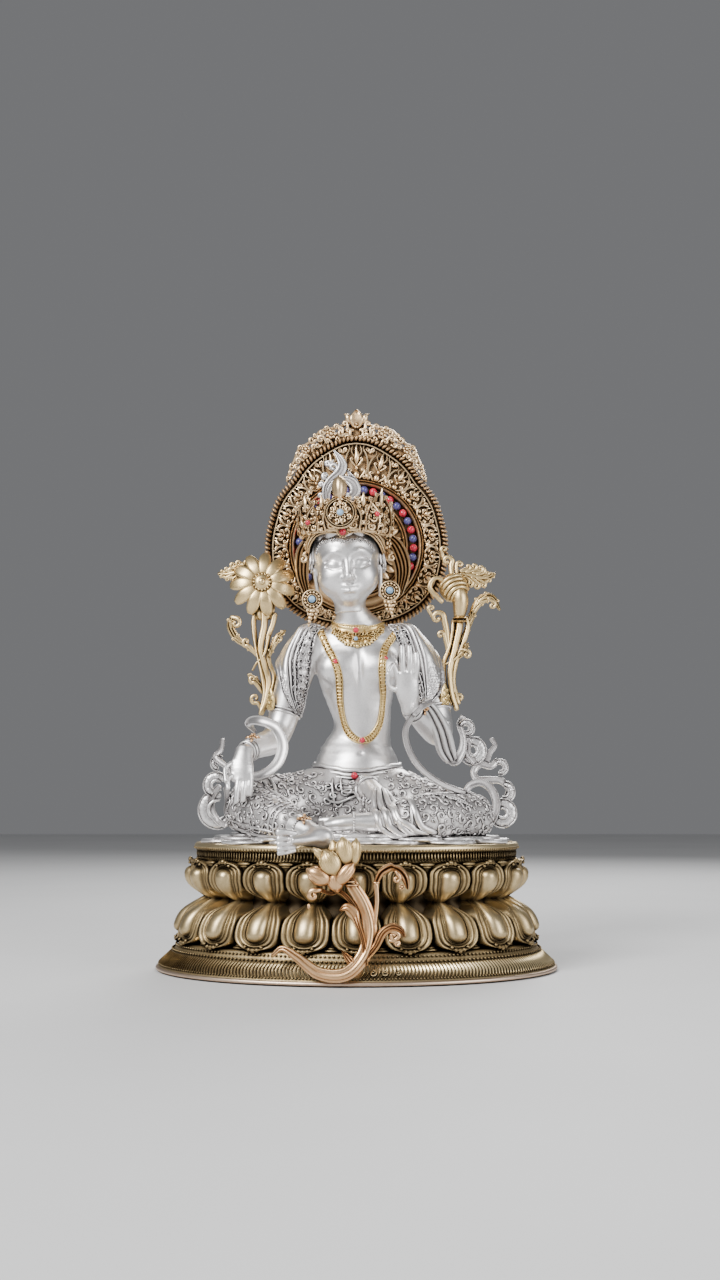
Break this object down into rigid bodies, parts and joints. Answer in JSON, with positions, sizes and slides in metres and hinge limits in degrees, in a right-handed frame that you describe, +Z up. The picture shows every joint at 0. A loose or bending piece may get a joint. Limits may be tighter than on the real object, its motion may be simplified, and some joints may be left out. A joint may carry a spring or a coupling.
{
  "type": "seated tara figure",
  "caption": "Seated Tara in silvered metal on a gilt oval double-lotus plinth, with crown, shoulder lotuses, looping scarf and an arched halo set with stones.",
  "frame": {"origin": "centre of the plinth's flat underside", "axes": "+Z up, +X to the figure's left (the picture's right), +Y to the figure's back"},
  "size_m": [0.227, 0.1692, 0.332],
  "materials": {
    "plinth_brass": "satin antique brass with dark brown patina in the recesses",
    "silver": "satin silver plate with grey patina in the recesses",
    "gilt": "satin gilt metal with dark brown patina in the recesses",
    "copper_gilt": "satin copper-gold plate",
    "coral": "polished red stone",
    "turquoise": "polished pale blue stone",
    "lapis": "polished deep blue stone"
  },
  "bodies": {
    "root": {"plinth": "plinth_brass", "figure": "silver", "crown": "gilt", "halo": "gilt", "lotus_right": "gilt", "lotus_left": "gilt", "scarf_right": "silver", "scarf_left": "silver", "foot_lotus": "copper_gilt", "earring_right": "gilt", "earring_right_turquoise": "turquoise", "earring_left": "gilt", "earring_left_turquoise": "turquoise", "crown_coral_brow": "coral", "crown_turquoise": "turquoise", "crown_coral_right": "coral", "crown_coral_left": "coral", "collar_coral": "coral", "collar_turquoise": "turquoise", "chain_coral_right": "coral", "chain_coral_left": "coral", "chain_coral_low": "coral", "girdle_coral": "coral", "halo_bead_01": "coral", "halo_bead_02": "lapis", "halo_bead_03": "coral", "halo_bead_04": "lapis", "halo_bead_05": "coral", "halo_bead_06": "lapis", "halo_bead_07": "coral", "halo_bead_08": "lapis", "halo_bead_09": "coral", "halo_bead_10": "lapis", "halo_bead_11": "coral", "halo_bead_12": "lapis", "halo_bead_13": "coral", "halo_bead_14": "lapis", "halo_bead_15": "coral", "halo_bead_16": "lapis", "halo_bead_17": "coral", "halo_bead_18": "lapis", "halo_bead_19": "coral", "halo_bead_20": "lapis", "halo_bead_21": "coral", "halo_bead_22": "lapis", "halo_bead_23": "coral", "halo_bead_24": "lapis", "halo_bead_25": "coral", "halo_bead_26": "lapis", "halo_bead_27": "coral", "halo_bead_28": "lapis"}
  },
  "joints": []
}
